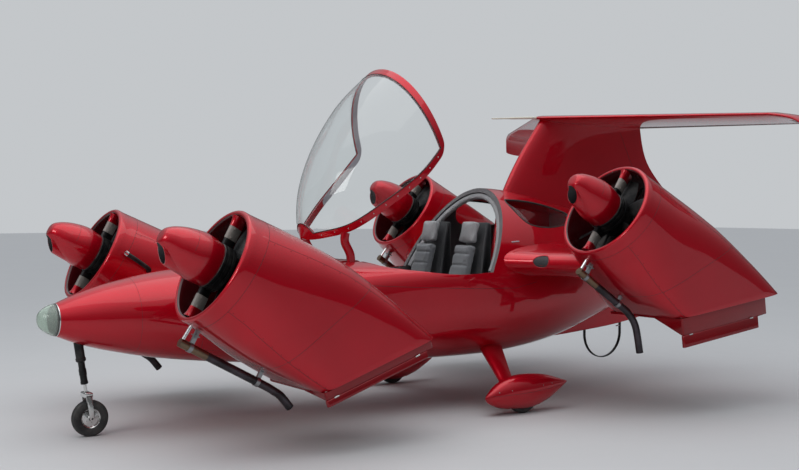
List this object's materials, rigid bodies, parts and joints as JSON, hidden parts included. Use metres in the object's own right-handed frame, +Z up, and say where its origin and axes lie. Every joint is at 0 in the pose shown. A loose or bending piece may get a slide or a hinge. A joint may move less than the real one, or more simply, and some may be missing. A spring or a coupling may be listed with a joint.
{
  "type": "ducted-fan flying car",
  "caption": "Vertical take-off car with ducted-fan nacelles beside a slim hollow cabin, an opening bubble canopy, a T-tail and fixed landing gear.",
  "frame": {"origin": "on the ground under the middle of the overall length, on the centre plane", "axes": "+Z up, -Y towards the nose, +X towards the car's left side"},
  "size_m": [3.76, 6.55, 2.6064],
  "materials": {
    "red_paint": "gloss",
    "black_metal": "satin",
    "bright_metal": "satin",
    "grey_cloth": "matt",
    "clear_plastic": "clear",
    "tyre_rubber": "matt",
    "pale_plastic": "satin",
    "cream_plastic": "satin"
  },
  "bodies": {
    "airframe": {"cabin_hoop": "grey_cloth", "canopy_hinge_tube": "bright_metal", "duct_front_left": "red_paint", "duct_front_right": "red_paint", "duct_rear_left": "red_paint", "duct_rear_right": "red_paint", "engine_mount_front_left": "black_metal", "engine_mount_front_right": "black_metal", "engine_mount_rear_left": "black_metal", "engine_mount_rear_right": "black_metal", "engine_pod_front_left": "red_paint", "engine_pod_front_right": "red_paint", "engine_pod_rear_left": "red_paint", "engine_pod_rear_right": "red_paint", "exhaust_front_left": "black_metal", "exhaust_front_right": "black_metal", "exhaust_rear_left": "black_metal", "exhaust_rear_right": "black_metal", "fin": "red_paint", "fuselage": "red_paint", "instrument_panel": "black_metal", "main_leg_left": "red_paint", "main_leg_right": "red_paint", "nose_cone": "pale_plastic", "nose_strut": "black_metal", "pitot_tube": "cream_plastic", "rear_bench": "grey_cloth", "seat_left": "grey_cloth", "seat_right": "grey_cloth", "tail_hoop": "black_metal", "tail_wing": "red_paint", "vane_box_front_left": "red_paint", "vane_box_front_right": "red_paint", "vane_box_rear_left": "red_paint", "vane_box_rear_right": "red_paint", "ventral_keel": "red_paint", "wheel_pant_left": "red_paint", "wheel_pant_right": "red_paint", "window_left": "clear_plastic", "window_right": "clear_plastic"},
    "canopy": {"canopy_frame": "red_paint", "canopy_glass": "clear_plastic"},
    "nose_fork": {"nose_fork": "bright_metal"},
    "nose_wheel": {"nose_wheel": "tyre_rubber"},
    "main_wheel_left": {"main_wheel_left": "tyre_rubber"},
    "main_wheel_right": {"main_wheel_right": "tyre_rubber"},
    "fan_front_left_front": {"fan_front_left_front": "black_metal"},
    "fan_front_left_rear": {"fan_front_left_rear": "black_metal"},
    "fan_front_right_front": {"fan_front_right_front": "black_metal"},
    "fan_front_right_rear": {"fan_front_right_rear": "black_metal"},
    "fan_rear_left_front": {"fan_rear_left_front": "black_metal"},
    "fan_rear_left_rear": {"fan_rear_left_rear": "black_metal"},
    "fan_rear_right_front": {"fan_rear_right_front": "black_metal"},
    "fan_rear_right_rear": {"fan_rear_right_rear": "black_metal"}
  },
  "joints": [
    {"name": "canopy_hinge", "type": "hinge", "parent": "airframe", "child": "canopy", "pos_m": [0, -1.251, 1.03], "axis": [1, 0, 0], "range_deg": [-46, 0]},
    {"name": "nose_steering", "type": "hinge", "parent": "airframe", "child": "nose_fork", "pos_m": [0, -2.95975, 0.355], "axis": [0, -0.1478, 0.989], "range_deg": [-45, 45]},
    {"name": "nose_wheel_spin", "type": "hinge", "parent": "nose_fork", "child": "nose_wheel", "pos_m": [0, -2.925, 0.1225], "axis": [1, 0, 0], "continuous": true},
    {"name": "main_wheel_left_spin", "type": "hinge", "parent": "airframe", "child": "main_wheel_left", "pos_m": [0.896, 0.079, 0.13], "axis": [1, 0, 0], "continuous": true},
    {"name": "main_wheel_right_spin", "type": "hinge", "parent": "airframe", "child": "main_wheel_right", "pos_m": [-0.896, 0.079, 0.13], "axis": [1, 0, 0], "continuous": true},
    {"name": "fan_front_left_front_spin", "type": "hinge", "parent": "airframe", "child": "fan_front_left_front", "pos_m": [1.1, -2.533, 1.19], "axis": [0, 0.878, -0.4787], "continuous": true},
    {"name": "fan_front_left_rear_spin", "type": "hinge", "parent": "airframe", "child": "fan_front_left_rear", "pos_m": [1.1, -2.533, 1.19], "axis": [0, 0.878, -0.4787], "continuous": true},
    {"name": "fan_front_right_front_spin", "type": "hinge", "parent": "airframe", "child": "fan_front_right_front", "pos_m": [-1.1, -2.533, 1.19], "axis": [0, 0.878, -0.4787], "continuous": true},
    {"name": "fan_front_right_rear_spin", "type": "hinge", "parent": "airframe", "child": "fan_front_right_rear", "pos_m": [-1.1, -2.533, 1.19], "axis": [0, 0.878, -0.4787], "continuous": true},
    {"name": "fan_rear_left_front_spin", "type": "hinge", "parent": "airframe", "child": "fan_rear_left_front", "pos_m": [1.35, 0.478, 1.525], "axis": [0, 0.8339, -0.5519], "continuous": true},
    {"name": "fan_rear_left_rear_spin", "type": "hinge", "parent": "airframe", "child": "fan_rear_left_rear", "pos_m": [1.35, 0.478, 1.525], "axis": [0, 0.8339, -0.5519], "continuous": true},
    {"name": "fan_rear_right_front_spin", "type": "hinge", "parent": "airframe", "child": "fan_rear_right_front", "pos_m": [-1.35, 0.478, 1.525], "axis": [0, 0.8339, -0.5519], "continuous": true},
    {"name": "fan_rear_right_rear_spin", "type": "hinge", "parent": "airframe", "child": "fan_rear_right_rear", "pos_m": [-1.35, 0.478, 1.525], "axis": [0, 0.8339, -0.5519], "continuous": true}
  ]
}
